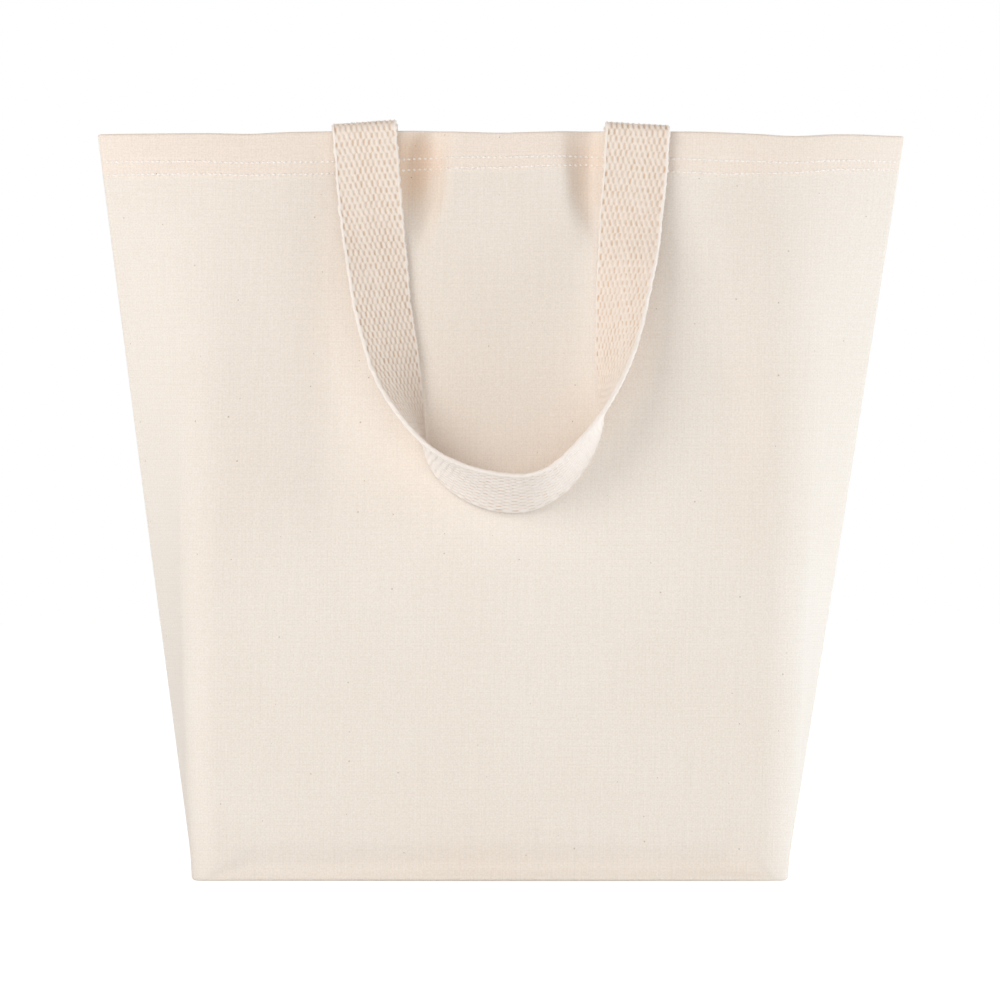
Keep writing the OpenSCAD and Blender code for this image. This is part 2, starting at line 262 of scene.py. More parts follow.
canvasValues = {
    # the third colour is painted shade: a warm darker tint for the pockets beside the sewn ends
    "panel": linear(241, 231, 221), "hem": linear(244, 230, 218), "paintedShade": linear(231, 202, 176),
    # a warmer tint in clouds and grains, as shares
    "warm": linear(237, 223, 208), "cloud": 0.18, "grain": 0.3, "cloudSize": 1 / 9,
    "fleck": linear(168, 142, 118), "fleckShare": 0.62, "fleckSpacing": 0.021, "fleckSize": 0.00036,
    "fleckRagged": 0.0006, "threadPitch": 0.00089, "bumpDeep": 0.00007,
    # how light the cloth is; what warp, weft, speckle, pillows and lines add to that, and to its relief
    "tone": 0.860, "tones": (0.055, 0.040, 0.165, 0.036, 0.005), "relief": (1.3, 1.3, 0.9, 0.7),
    "noiseRough": 0.55, "bump": 0.55, "gloss": 0.18, "sheen": 0.12,
}


def canvasFlecks(place):  # 1 in each fleck: ragged spots of drawn sizes, in under half of the cells
    ragged = place.node("TexNoise", {"noise_dimensions": "2D"},
                        {"Vector": place, "Scale": 2600.0, "Detail": 1.0}, "Color")
    ragged = place.node("VectorMath", {"operation": "SCALE"},
                        {0: ragged, "Scale": canvasValues["fleckRagged"]})
    spot = place.node("VectorMath", {"operation": "ADD"}, {0: place, 1: ragged})
    flecks = place.node("TexVoronoi", {"voronoi_dimensions": "2D", "feature": "F1"},
                        {"Vector": spot, "Scale": 1 / canvasValues["fleckSpacing"]})
    draw = place.node("SeparateColor", None, {0: otherOutput(flecks, "Color")})
    size = otherOutput(draw, 1) * 0.8 + 0.45
    reach = canvasValues["fleckSize"] / canvasValues["fleckSpacing"]
    return (1 - (flecks / size).ramp(reach * 0.55, reach * 1.25)) * draw.ramp(0.56, 0.60)


def makeCanvasMaterial():
    material, shader, start = newMaterial("canvas")
    values = canvasValues
    rough = values["noiseRough"]
    place, along, up = uvPlace(start, "cloth")
    warp = along / values["threadPitch"]
    weft = up / values["threadPitch"]
    warpSlub = noise(warp * 0.8, weft * 0.022, 2.0, rough)       # threads of uneven thickness, both ways
    weftSlub = noise(warp * 0.022 + 31.7, weft * 0.8, 2.0, rough)
    speckle = noise(warp * 0.95, weft * 0.95, 1.0, rough)
    cloud = noise(along / values["cloudSize"], up / values["cloudSize"], 3.0, rough)
    grain = noise(warp * 0.4 + 7.3, weft * 0.4 + 2.9, 2.0, rough)
    warpTurn = warp * math.pi
    weftTurn = weft * math.pi
    pillows = (warpTurn.sum("SINE") * weftTurn.sum("SINE")).sum("ABSOLUTE")
    lines = warpTurn.sum("COSINE") + weftTurn.sum("COSINE")
    tone = weighted(values["tone"], values["tones"], (warpSlub, weftSlub, speckle, pillows, lines))
    colour = painted(start, "hem").mixed(values["panel"], values["hem"])
    warm = cloud.ramp(0.36, 0.66) * values["cloud"] + grain.ramp(0.3, 0.7) * values["grain"]
    colour = warm.mixed(colour, values["warm"])
    # painted shade: the pockets beside the sewn ends are tinted warm and darker
    colour = tone.shaded(painted(start, "paintedShade").mixed(colour, values["paintedShade"]))
    colour = (canvasFlecks(place) * values["fleckShare"]).mixed(colour, values["fleck"])
    height = weighted(0, values["relief"], (warpSlub, weftSlub, speckle, pillows))
    setSurface(shader, values, colour, 0.86 + 0.1 * speckle, height)
    return material


webbingValues = {
    # the last colour is painted shade for the gaps between cords
    "cotton": linear(245, 232, 220), "selvedge": linear(249, 239, 231), "hollowShade": linear(220, 190, 163),
    "yarnPitch": 0.00045, "bumpDeep": 0.00006,
    # how light the webbing is, and what its yarns, fuzz and patches add to that
    "tone": 0.93, "tones": (0.06, 0.05, 0.03),
    "noiseRough": 0.6, "bump": 0.6, "gloss": 0.2, "sheen": 0.15,
}


def makeWebbingMaterial():
    material, shader, start = newMaterial("cottonWebbing")
    values = webbingValues
    rough = values["noiseRough"]
    place, across, along = uvPlace(start, "webbing")
    yarns = noise(across / values["yarnPitch"], along / values["yarnPitch"] * 0.16, 2.0, rough)
    fuzz = noise(across * 2600, along * 2600, 3.0, rough)
    patches = noise(across * 60, along * 40, 3.0, rough)
    uneven = noise(across * 400, along * 240, 1.0, rough)
    # painted shade in the gaps between cords, uneven in patches
    depth = painted(start, "hollowShade") * (0.55 + 0.45 * uneven.ramp(0.3, 0.75) + 0.5 * (patches - 0.5))
    tone = weighted(values["tone"], values["tones"], (yarns, fuzz, patches))
    # paler at the selvedge; the whole back face is painted lighter too, as painted light from below
    colour = painted(start, "selvedgeAndBackLight").mixed(values["cotton"], values["selvedge"])
    colour = depth.ramp(0.05, 1.0).mixed(colour, values["hollowShade"])
    setSurface(shader, values, tone.shaded(colour), 0.86 + 0.1 * fuzz, yarns * 1.2 + fuzz)
    return material


threadValues = {
    "cotton": linear(255, 250, 244), "shade": linear(247, 237, 227), "twist": 0.00032, "bumpDeep": 0.00004,
    "bump": 0.3, "gloss": 0.3, "sheen": 0.1,
}


def makeThreadMaterial():
    material, shader, start = newMaterial("sewingThread")
    place = start.node("TexCoord", None, None, "Object")
    plies = start.node("TexWave", {"wave_type": "BANDS", "bands_direction": "DIAGONAL"},
                       {"Vector": place, "Scale": 0.31 / threadValues["twist"], "Distortion": 1.0,
                        "Detail": 1.0}, "Fac")
    colour = plies.mixed(threadValues["shade"], threadValues["cotton"])
    setSurface(shader, threadValues, colour, 0.62 + 0.2 * plies, plies)
    return material


canvasMaterial = makeCanvasMaterial()
webbingMaterial = makeWebbingMaterial()
threadMaterial = makeThreadMaterial()
print("materials ready")


# The cloth's surface, as in the CAD, with the fullness, creases and ripples of soft canvas

bag = {
    "mouthWide": 0.4068, "mouthDeep": 0.054, "mouthCurve": 4.0,
    "baseWide": 0.296, "baseDeep": 0.110, "tall": 0.372, "corner": 0.014,
    "belly": 0.003, "thick": 0.0008, "lean": -0.0056,
    "hemWide": 0.0235, "hemInner": 0.0026, "seamAllowance": 0.010,
    # how far the mouth's edge rises above its middle line: place along the cloth, then height
    "mouthRise": ((-203, -0.2), (-185, -0.2), (-142, -0.2), (-126, -0.9), (-108, 0.1), (-80, 0.55),
                  (-52, 0.6), (-40, 1.0), (-28, 0.5), (-14, 0.1), (0, -0.4), (12, 0.1), (30, 0.55),
                  (70, 0.4), (100, 0.4), (118, -0.3), (132, -0.9), (144, -1.9), (154, -1.5), (164, -0.6),
                  (182, -0.6), (192, -1.1), (203, -1.2)),
    # the two rows of hem stitching, below the mouth's edge
    "upperRow": ((-203, 14.0), (-150, 14.2), (-95, 15.2), (-60, 15.0), (-15, 12.4), (20, 12.2), (60, 13.0),
                 (110, 14.2), (150, 13.2), (203, 13.0)),
    "lowerRow": ((-203, 20.6), (-150, 20.4), (-95, 21.3), (-60, 20.4), (-20, 18.0), (20, 17.0), (45, 16.7),
                 (75, 19.6), (110, 21.0), (150, 18.2), (203, 17.0)),
}
seamAt = bag["baseWide"] / 2 + bag["baseDeep"] / 2      # the side seam, along the cloth from its middle
wallAt = bag["baseWide"] / 2
cornerFrom = wallAt - bag["corner"]
cornerTo = wallAt + bag["corner"]


def curve(points, s):  # a smooth line through (place, height) pairs in millimetres
    x, y = np.array(points).T * mm
    fine = np.linspace(x[0], x[-1], 600)
    line = np.interp(fine, x, y)
    kernel = np.hanning(41)
    padded = np.pad(line, 20, mode="edge")
    return np.interp(s, fine, np.convolve(padded, kernel / kernel.sum(), "valid"))


def ease(t):
    t = np.clip(t, 0, 1)
    return t * t * (3 - 2 * t)


def slope(t):  # straight between rounded ends
    t = np.clip(t, 0, 1)
    bent = 0.28
    start = t ** 2 / (2 * bent)
    end = 1 - bent - (1 - t) ** 2 / (2 * bent)
    return np.where(t < bent, start, np.where(t > 1 - bent, end, t - bent / 2)) / (1 - bent)


def bell(distance, width):
    return np.exp(-(distance / width) ** 2)


def mixed(a, b, t):
    return a + (b - a) * t


def pointsAt(x, y, z):
    return np.stack(np.broadcast_arrays(x, y, z), -1)


def unit(vectors):
    return vectors / np.linalg.norm(vectors, axis=-1, keepdims=True)


def squared(vectors, unitWays):  # made square to the ways
    return unit(vectors - unitWays * (vectors * unitWays).sum(-1, keepdims=True))


def ripples(x, y, seed, count, shortest, longest, stretch=1.0):
    draw = np.random.default_rng(seed)
    total = np.zeros(np.broadcast(x, y).shape)
    for k in range(count):
        wave = math.exp(draw.uniform(math.log(shortest), math.log(longest)))
        turn = draw.uniform(0, math.pi)
        phase = draw.uniform(0, 2 * math.pi)
        along = x * math.cos(turn) + y * math.sin(turn) * stretch
        total = total + np.sin(2 * math.pi * along / wave + phase)
    return total / math.sqrt(count)


folds = {  # metres: the cloth's soft shapes
    "broad": 0.0007, "middling": 0.00016, "small": 0.00004,
    # the pockets beside the sewn ends: on the left of the bag, then on its right
    "pocketDeep": (0.0140, 0.0094), "pocketFrom": (0.0250, 0.0300), "pocketRound": (0.0080, 0.0150),
    "pocketTo": (0.0340, 0.0455), "pocketEnd": 0.0535, "pocketLoose": 0.0030, "pocketSpread": 0.009,
    "besideHigh": (-0.0026, -0.0032), "besideAt": (0.082, 0.114), "besideWide": (0.016, 0.020),
    "rollHigh": 0.0016, "rollAt": 0.150, "rollWide": 0.020, "gussetSwell": 0.0034,
    "wrinkleAt": (-0.1310, 0.3665), "wrinkleHigh": 0.0007, "wrinkleWide": 0.0012, "wrinkleLong": 0.0042,
    "hemHigh": 0.0004, "puckerDeep": 0.00012, "puckerUneven": 0.00010,
    # the long hollow above the base, the rim under it and the fold at its foot
    "hollowDeep": 0.0046, "hollowTop": 0.0215, "rim": 0.0036, "foldRadius": 0.0020,
}
# the painted shade in the pockets: its share on the bag's left and right, less on the back, and where it
# spans
paintedShade = {"share": (0.75, 0.27), "atBack": 0.4, "from": (0.0270, 0.0285), "round": (0.015, 0.008),
          "to": 0.0560}


def heightShare(z):  # 0 at the base, 1 at the mouth
    return np.clip(z / bag["tall"], 0, 1)


def rowHeight(which, s):
    return bag["tall"] - curve(bag[which], s)


def byHand(values, name, onRight):
    return np.where(onRight, values[name][1], values[name][0])


def shadeInPockets(s, z, side):  # painted shade: a warm darker tint in the pockets beside the sewn ends, for light that bounces within them
    a = np.abs(s)
    onRight = s * side > 0
    inner = byHand(paintedShade, "from", onRight) + 0.014 * ease((0.358 - z) / 0.050)
    across = ease((a - inner) / byHand(paintedShade, "round", onRight)) * (1 - ease((a - paintedShade["to"]) / 0.006))
    share = byHand(paintedShade, "share", onRight) * (1 - 0.35 * ease((z - 0.362) / 0.008))
    return share * (1 if side == 1 else paintedShade["atBack"]) * across * ease((z - 0.318) / 0.030)


def hemShare(s, z):  # 1 where the wall is lined by its hem
    return ease((z - rowHeight("lowerRow", s) + 0.0018) / 0.0013)


def pocket(a, z, onRight):  # how far the cloth falls back beside a sewn end, most of it below the mouth
    nearMouth = ease((z - 0.352) / 0.020)
    loose = folds["pocketLoose"] * nearMouth
    inner = byHand(folds, "pocketFrom", onRight) + folds["pocketSpread"] * ease((0.346 - z) / 0.040) - loose
    outer = byHand(folds, "pocketTo", onRight)
    deep = byHand(folds, "pocketDeep", onRight) * (1 - 0.45 * nearMouth) * ease((z - 0.306) / 0.040)
    rising = ease((a - inner) / (byHand(folds, "pocketRound", onRight) + loose))
    return deep * rising * (1 - slope((a - outer) / (folds["pocketEnd"] - outer)))


def softShape(s, z, side):  # what gravity and handling do to the free cloth
    a = np.abs(s)
    onRight = s * side > 0
    soft = folds["broad"] * ripples(s, z, 11 + side, 7, 0.10, 0.26, 0.6)
    soft = soft + folds["middling"] * ripples(s, z, 23 + side, 14, 0.028, 0.07, 0.8)
    soft = soft + folds["small"] * ripples(s, z, 37 + side, 22, 0.009, 0.02)
    soft = soft - pocket(a, z, onRight)
    beside = byHand(folds, "besideHigh", onRight) * bell(a - byHand(folds, "besideAt", onRight),
                                                         byHand(folds, "besideWide", onRight))
    soft = soft + beside * ease((z - 0.13) / 0.10) * ease((0.374 - z) / 0.03)
    wrinkleX, wrinkleZ = s * side - folds["wrinkleAt"][0], z - folds["wrinkleAt"][1]
    wrinkle = bell(wrinkleX * 0.8 + wrinkleZ * 0.6, folds["wrinkleWide"])
    soft = soft + folds["wrinkleHigh"] * wrinkle * bell(wrinkleX * 0.6 - wrinkleZ * 0.8, folds["wrinkleLong"])
    roll = folds["rollHigh"] * bell(a - folds["rollAt"], folds["rollWide"])
    soft = soft + roll * ease((z - 0.02) / 0.05) * (1 - ease((z - 0.2) / 0.14))
    return soft + folds["gussetSwell"] * ease((a - cornerFrom) / 0.045) * (1 - heightShare(z)) ** 2


def hemShape(s, z, side):  # the hem is thicker, and puckers a little at its stitching
    inHem = hemShare(s, z) * (1 - ease((np.abs(s) - 0.188) / 0.012))
    hem = inHem * folds["hemHigh"]
    for which in ("upperRow", "lowerRow"):
        row = rowHeight(which, s)
        uneven = folds["puckerUneven"] * ripples(s, 0 * z, 51 + side, 5, 0.006, 0.012)
        hem = hem + inHem * (bell(z - row, 0.004) * uneven - bell(z - row, 0.0018) * folds["puckerDeep"])
    return hem


def baseShape(s, z, side):  # above the base the wall turns under in a long hollow, with a fold at each corner
    reach = np.clip((wallAt - 0.002 - np.abs(s)) / 0.028, 0, 1) + 0.0001 / folds["hollowTop"]
    up = np.clip(z / (folds["hollowTop"] * reach), 0, 1)
    reach = np.clip(reach, 0, 1)
    rimShare = 0.25 + 0.75 * ease((s * side + 0.10) / 0.10)  # the rim shows more on one half
    low = folds["rim"] * rimShare * reach * (1 - ease((up - 0.05) / 0.32))
    low = low - folds["hollowDeep"] * reach * (1 - ease((up - 0.30) / 0.70))
    down = np.clip(1 - z / folds["foldRadius"], 0, 1)
    return low - folds["foldRadius"] * (1 - np.sqrt(1 - down ** 2))


def standOff(s, z, side):  # how far the cloth stands out from its flat ruled shape; side 1 is the front
    a = np.abs(s)
    full = bag["belly"] * np.sin(math.pi * heightShare(z)) * (1 - (a / seamAt) ** 2)
    free = (1 - (a / seamAt) ** 6) * ease(z / 0.05)
    return full + softShape(s, z, side) * free + hemShape(s, z, side) + baseShape(s, z, side)


def cornerTurn(a):  # how far round the corner onto the gusset, as an angle
    return math.pi / 2 * np.clip((a - cornerFrom) / (2 * bag["corner"]), 0, 1)


def normalAt(a, z):
    turn = cornerTurn(a)
    steep = bag["mouthDeep"] / bag["mouthWide"] * bag["mouthCurve"] * (a / seamAt) ** (bag["mouthCurve"] - 1)
    long = np.sqrt(steep ** 2 + 1)
    share = heightShare(z)
    nx = mixed(np.sin(turn), steep / long, share)
    ny = mixed(-np.cos(turn), -1 / long, share)
    size = np.sqrt(nx ** 2 + ny ** 2)
    return nx / size, ny / size


def skinPlace(a, z):
    turn = cornerTurn(a)
    radius, front = bag["corner"], -bag["baseDeep"] / 2
    onWall, onGusset = a < cornerFrom, a > cornerTo
    baseX = np.where(onWall, a, np.where(onGusset, wallAt, cornerFrom + radius * np.sin(turn)))
    baseY = np.where(onWall, front, np.where(onGusset, a - seamAt, front + radius * (1 - np.cos(turn))))
    mouthX = a / seamAt * bag["mouthWide"] / 2
    mouthY = -bag["mouthDeep"] / 2 * (1 - (a / seamAt) ** bag["mouthCurve"])
    share = heightShare(z)
    return mixed(baseX, mouthX, share), mixed(baseY, mouthY, share)


def clothAt(s, z, depth, side):
    # A point of the cloth at a depth under its outer face. The back cloth too is made facing the front.
    s, z, depth = np.broadcast_arrays(np.asarray(s, float), np.asarray(z, float), np.asarray(depth, float))
    a = np.clip(np.abs(s), 1e-6, seamAt)
    x, y = skinPlace(a, z)
    nx, ny = normalAt(a, z)
    out = standOff(s, z, side) - depth
    x = (x + nx * out) * np.sign(np.where(s == 0, 1, s)) + bag["lean"] * side * (1 - z / bag["tall"])
    rise = curve(bag["mouthRise"], s * side) * ease((z - 0.26) / 0.11)
    return pointsAt(x, y + ny * out, z + rise)


def frontFace(x, z, side):  # distance of the front cloth's outer face in front of the middle, at x and z
    x = x - bag["lean"] * side * (1 - z / bag["tall"])
    s = x / mixed(1, bag["mouthWide"] / 2 / seamAt, heightShare(z))
    return -clothAt(s, np.minimum(z, bag["tall"]), 0, side)[..., 1]


def gridFaces(index):
    a, b, c, d = index[:-1, :-1], index[:-1, 1:], index[1:, 1:], index[1:, :-1]
    return np.stack([a, b, c, d], -1).reshape(-1, 4)


def uvGrid(across, along):
    return np.stack(np.broadcast_arrays(across[None, :], along[:, None]), -1)


def newPiece(name, points, faces, material, side=1, uvName=None, uvs=None):
    mesh = bpy.data.meshes.new(name)
    points = points * np.array([side, side, 1])  # pieces of the back are half a turn about Z away
    mesh.from_pydata(points.tolist(), [], faces.tolist() if isinstance(faces, np.ndarray) else faces)
    if uvs is not None:
        layer = mesh.uv_layers.new(name=uvName)
        corner = np.zeros(len(mesh.loops), np.int32)
        mesh.loops.foreach_get("vertex_index", corner)
        layer.data.foreach_set("uv", uvs[corner].astype(np.float32).ravel())
    piece = bpy.data.objects.new(name, mesh)
    scene.collection.objects.link(piece)
    piece.data.materials.append(material)
    mesh.shade_smooth()
    mesh.update()
    return piece


def paint(piece, name, values):
    layer = piece.data.attributes.new(name, "FLOAT", "POINT")
    layer.data.foreach_set("value", values.ravel().astype(np.float32))


def selectOnly(piece):
    for thing in bpy.context.selected_objects:
        thing.select_set(False)
    bpy.context.view_layer.objects.active = piece
    piece.select_set(True)


def finishPiece(piece, slot, *nodes):
    selectOnly(piece)
    bpy.ops.object.mode_set(mode="EDIT")
    bpy.ops.mesh.select_all(action="SELECT")
    bpy.ops.mesh.normals_make_consistent(inside=False)
    bpy.ops.object.mode_set(mode="OBJECT")
    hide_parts(*nodes)


# The two canvas panels. Each is one sheet: half the base, the wall, the hem turned in twice.

clothGrid = {
    "step": 0.0024, "seamRadius": 0.0008, "seamGap": 0.00015, "lip": 0.0009,
    "gussetColumns": 22, "gussetEnd": 0.0042, "baseRows": 16,
    # From here on in tenths of a millimetre. The heights of the lowest rows of the wall:
    "low": (0, 2, 5, 10, 16, 24, 34, 46, 60, 76, 94, 114, 136, 160, 184, 208, 232),
    # a seam allowance as its columns see it: distance along the cloth past the seam
    "allowance": (-30, -20, -10, 0, 10, 30, 60, 110),
    # the lips of the corner seams: how far across and up, on the base and on the gussets
    "baseLip": ((2, 1), (6, 5), (7, 11), (7, 45), (7, 95)), "baseLipAlong": (3, 10, 17, 50, 100),
    "gussetLip": ((6, 105), (6, 45), (6, 12), (4, 4)), "gussetLipAlong": (-115, -55, -18, -6),
    # the middle seam's allowances, one on the other: how far forward and up, for the front and the back cloth
    "baseSeam": {1: ((91, 20), (51, 20), (21, 19), (7, 14), (-1, 6)),
                 -1: ((-95, 18), (-60, 18), (-20, 18), (-6, 14), (0, 9), (-6, 3))},
}


def clothColumns():
    inner = np.linspace(-wallAt, wallAt, int(2 * wallAt / clothGrid["step"]) // 2 * 2 + 1)
    outer = np.linspace(wallAt, seamAt - clothGrid["gussetEnd"], clothGrid["gussetColumns"] + 1)[1:]
    return np.concatenate([-outer[::-1], inner, outer])


def wallStations():
    # For each row from the base to the tucked hem: its z, its depth, the z of the wall that it follows and
    # how far it has turned over, as an angle.
    tall, inner, hemEnd = bag["tall"], bag["hemInner"], bag["tall"] - bag["hemWide"]
    wall = np.arange(0.0256, tall - 0.029, clothGrid["step"])
    hem = np.linspace(tall - 0.0285, tall - inner / 2, 24)
    rows = [(z, 0.0, z, 0.0) for z in np.r_[np.array(clothGrid["low"]) * tenth, wall, hem]]
    for angle in np.radians([22, 45, 68, 90, 112, 135, 158, 180]):
        rows.append((tall - inner / 2 + inner / 2 * math.sin(angle), inner / 2 * (1 - math.cos(angle)),
                     tall - inner / 2, angle))
    tuckRadius = 0.0008
    tuck = hemEnd + tuckRadius
    for z in np.linspace(tall - inner / 2, tuck, 15)[1:]:
        rows.append((z, inner, z, math.pi))
    for angle in np.radians([36, 72, 108, 144, 180]):
        rows.append((tuck - tuckRadius * math.sin(angle), inner - tuckRadius * (1 - math.cos(angle)), tuck,
                     math.pi + angle))
    rows.append((hemEnd + 0.003, inner - 2 * tuckRadius, hemEnd + 0.003, 2 * math.pi))
    return np.array(rows)


def seamColumns(edgePoint, before, inward, length):
    # From the last plain column, round the seam's edge and into the allowance. All are arrays over the rows.
    way = unit(edgePoint - before)
    reach = (-clothGrid["seamGap"] - before[:, 1]) / np.where(np.abs(way[:, 1]) < 1e-4, 1e-4, way[:, 1])
    corner = before + way * reach[:, None]
    inward = unit(inward)
    turn = np.arccos(np.clip((way * inward).sum(-1), -0.999, 0.999))
    cut = np.minimum(clothGrid["seamRadius"] * np.tan(turn / 2), reach * 0.85)
    start = corner - way * cut[:, None]
    end = corner + inward * cut[:, None]
    # a parabola is close enough to the edge's small arc
    arc = [(1 - t) ** 2 * start + 2 * t * (1 - t) * corner + t ** 2 * end for t in (0, 0.25, 0.5, 0.75, 1)]
    return arc + [end + inward * (length * t)[:, None] for t in (0.2, 0.5, 1.0)]


def wallPoints(columns, side):  # the wall, its gussets, its hem and the seam allowances at its two ends
    z, depth, zAlong, over = wallStations().T
    tall, hemEnd = bag["tall"], bag["tall"] - bag["hemWide"]

    def placed(s):  # the turned-in hem reaches just past the lower row of stitching
        hemReach = (tall + 0.0016 - rowHeight("lowerRow", s)) / bag["hemWide"]
        heights = tall - (tall - zAlong[:, None]) * np.where(over[:, None] < math.pi, 1.0, hemReach)
        made = clothAt(s, heights, depth[:, None], side)
        made[..., 2] += (z - zAlong)[:, None]
        return made

    points = placed(columns[None, :])
    lip = clothGrid["lip"]
    allowance = np.where(z < hemEnd - 0.004, bag["seamAllowance"], lip)
    allowance = np.where(over > 0, lip * 0.6, allowance)
    allowance = np.minimum(allowance, lip + ease((z - 0.004) / 0.012) * 0.010)
    allowance = np.minimum(allowance, lip + ease((hemEnd - 0.004 - z) / 0.004) * 0.010)
    down = np.clip((0.003 - z) / 0.003, 0, 1) * (over == 0)
    sides = []
    for hand in (-1, 1):
        edge = placed(np.array([[hand * seamAt]]))[:, 0]
        before = points[:, 0 if hand < 0 else -1]
        inward = pointsAt(-hand * np.sqrt(1 - down ** 2) * np.cos(over), 0, down - np.sin(over))
        made = seamColumns(edge, before, inward, allowance)
        sides.append(made[::-1] if hand < 0 else made)
    wall = np.stack([*sides[0], *[points[:, k] for k in range(points.shape[1])], *sides[1]], 1)
    steps = np.sqrt(np.diff(z) ** 2 + np.diff(depth) ** 2)
    return wall, np.r_[0, np.cumsum(steps)], z, over


def basePoints(foldLine, inner, side):  # half the base, from the middle seam's allowance to the fold
    share = np.linspace(0, 1, clothGrid["baseRows"] + 1)[:-1] ** 0.9          # 0 at the seam, 1 at the fold
    halfWide = (foldLine[-1, 0] - foldLine[0, 0]) / 2 + 0.0015
    x = inner / wallAt * halfWide + (foldLine[-1, 0] + foldLine[0, 0]) / 2
    middle = pointsAt(x, -clothGrid["seamGap"], 0)
    base = middle[None] + (foldLine - middle)[None] * share[:, None, None]
    uneven = 0.6 + 0.4 * ripples(base[..., 0], base[..., 1], 71 + side, 6, 0.05, 0.12)
    base[..., 2] += 0.0006 * uneven * np.sin(math.pi * share)[:, None]
    seam = np.stack([middle + np.array([0, forward, up]) * tenth
                     for forward, up in clothGrid["baseSeam"][side]])
    base = np.concatenate([seam, base])
    length = np.r_[-0.055 - np.linspace(0.012, 0.001, len(seam)), -(1 - share) * abs(foldLine[:, 1]).mean()]
    left = [base[:, 0] + np.array([-across, 0, up]) * tenth for across, up in reversed(clothGrid["baseLip"])]
    right = [base[:, -1] + np.array([across, 0, up]) * tenth for across, up in clothGrid["baseLip"]]
    return np.stack([*left, *[base[:, k] for k in range(base.shape[1])], *right], 1), length


def makeCanvas(name, side):
    columns = clothColumns()
    gussets, lips = clothGrid["gussetColumns"], len(clothGrid["allowance"])
    wall, length, z, over = wallPoints(columns, side)
    edge = seamAt + np.array(clothGrid["allowance"]) * tenth
    allColumns = np.concatenate([-edge[::-1], columns, edge])
    parts, uvs, faces = [], [], []

    def addGrid(points, uv):  # points in rows, and their numbers in the sheet
        first = sum(len(part) for part in parts)
        parts.append(points.reshape(-1, 3))
        uvs.append(uv.reshape(-1, 2))
        return first + np.arange(len(parts[-1])).reshape(points.shape[:2])

    wallIndex = addGrid(wall, uvGrid(allColumns, length))
    faces.append(gridFaces(wallIndex))

    # half the base, from the middle seam out to the fold, and the lips of the corner seams at its ends
    first, last = lips + gussets, len(allColumns) - lips - gussets - 1
    inner = columns[gussets:-gussets]
    base, baseLength = basePoints(wall[0, first:last + 1], inner, side)
    lipAlong = wallAt + np.array(clothGrid["baseLipAlong"]) * tenth
    baseIndex = addGrid(base, uvGrid(np.r_[-lipAlong[::-1], inner, lipAlong], baseLength))
    foldIndex = baseIndex[-1, len(lipAlong):-len(lipAlong)]
    faces += [gridFaces(baseIndex), gridFaces(np.stack([foldIndex, wallIndex[0, first:last + 1]]))]

    # the lower lips of the gussets, which turn up inside beside the base's
    for lipFrom, lipTo, hand in ((0, first + 1, -1), (last, len(allColumns), 1)):
        lip = np.stack([wall[0, lipFrom:lipTo] + np.array([-hand * across, 0, up]) * tenth
                        for across, up in clothGrid["gussetLip"]])
        lipLength = np.array(clothGrid["gussetLipAlong"]) * tenth
        lipIndex = addGrid(lip, uvGrid(allColumns[lipFrom:lipTo], lipLength))
        faces.append(gridFaces(np.concatenate([lipIndex, wallIndex[:1, lipFrom:lipTo]])))

    points = np.concatenate(parts)
    piece = newPiece(name, points, np.concatenate(faces), canvasMaterial, side, "cloth", np.concatenate(uvs))
    lined = hemShare(np.clip(allColumns, -seamAt, seamAt)[None, :], z[:, None])
    # how much painted shade each point of the wall gets, and how far it is lined by the hem
    pocketShades = shadeInPockets(allColumns[None, :], z[:, None], side)
    for layer, share, turnedIn in (("paintedShade", pocketShades, 0), ("hem", lined, 1)):
        values = np.zeros(len(points))
        values[:wallIndex.size] = np.where(over[:, None] > 0, turnedIn, share).ravel()
        paint(piece, layer, values)
    solid = piece.modifiers.new("thickness", "SOLIDIFY")
    solid.thickness = bag["thick"]
    solid.offset = -1
    selectOnly(piece)
    bpy.ops.object.modifier_apply(modifier=solid.name)
    piece.data.shade_smooth()
    return piece


# Stitches: one thread bead, copied along each row

stitch = {"pitch": 0.00265, "long": 0.0022, "wide": 0.0012, "high": 0.00058, "out": 0.00012, "rowEnd": 0.005}


def modelStitch():
    bpy.ops.mesh.primitive_uv_sphere_add(segments=6, ring_count=6, radius=0.5, rotation=(0, math.pi / 2, 0))
    bead = bpy.context.object
    selectOnly(bead)
    bpy.ops.object.transform_apply(location=False, rotation=True, scale=False)
    bpy.ops.object.mode_set(mode="EDIT")
    bpy.ops.mesh.select_all(action="SELECT")
    bpy.ops.transform.resize(value=(stitch["long"], stitch["wide"], stitch["high"]))
    bpy.ops.object.mode_set(mode="OBJECT")
    points = np.array([v.co for v in bead.data.vertices])
    faces = sorted(list(p.vertices) for p in bead.data.polygons)
    # its ends dive in
    points[:, 2] -= stitch["high"] * 0.6 * (np.abs(points[:, 0]) / (stitch["long"] / 2)) ** 3
    bpy.data.objects.remove(bead)
    return points, faces


beadPoints, beadFaces = modelStitch()


def layBeads(name, places, ways, outs, side):
    # One bead at each place, lying along its way, raised along its out.
    places, ways, outs = (np.concatenate(part) for part in (places, ways, outs))
    ways = unit(ways)
    outs = squared(outs, ways)
    across = np.cross(outs, ways)
    draw = np.random.default_rng(len(places))
    sizes = 1 + 0.07 * draw.standard_normal((len(places), 3)).clip(-1.5, 1.5)
    turns = 0.05 * draw.standard_normal(len(places))
    longways = ways + across * turns[:, None]
    local = beadPoints[None] * sizes[:, None, :]
    points = places[:, None] + local[..., :1] * longways[:, None] + local[..., 1:2] * across[:, None] \
        + local[..., 2:] * outs[:, None]
    faces = [[v + k * len(beadPoints) for v in face] for k in range(len(places)) for face in beadFaces]
    return newPiece(name, points.reshape(-1, 3), faces, threadMaterial, side)


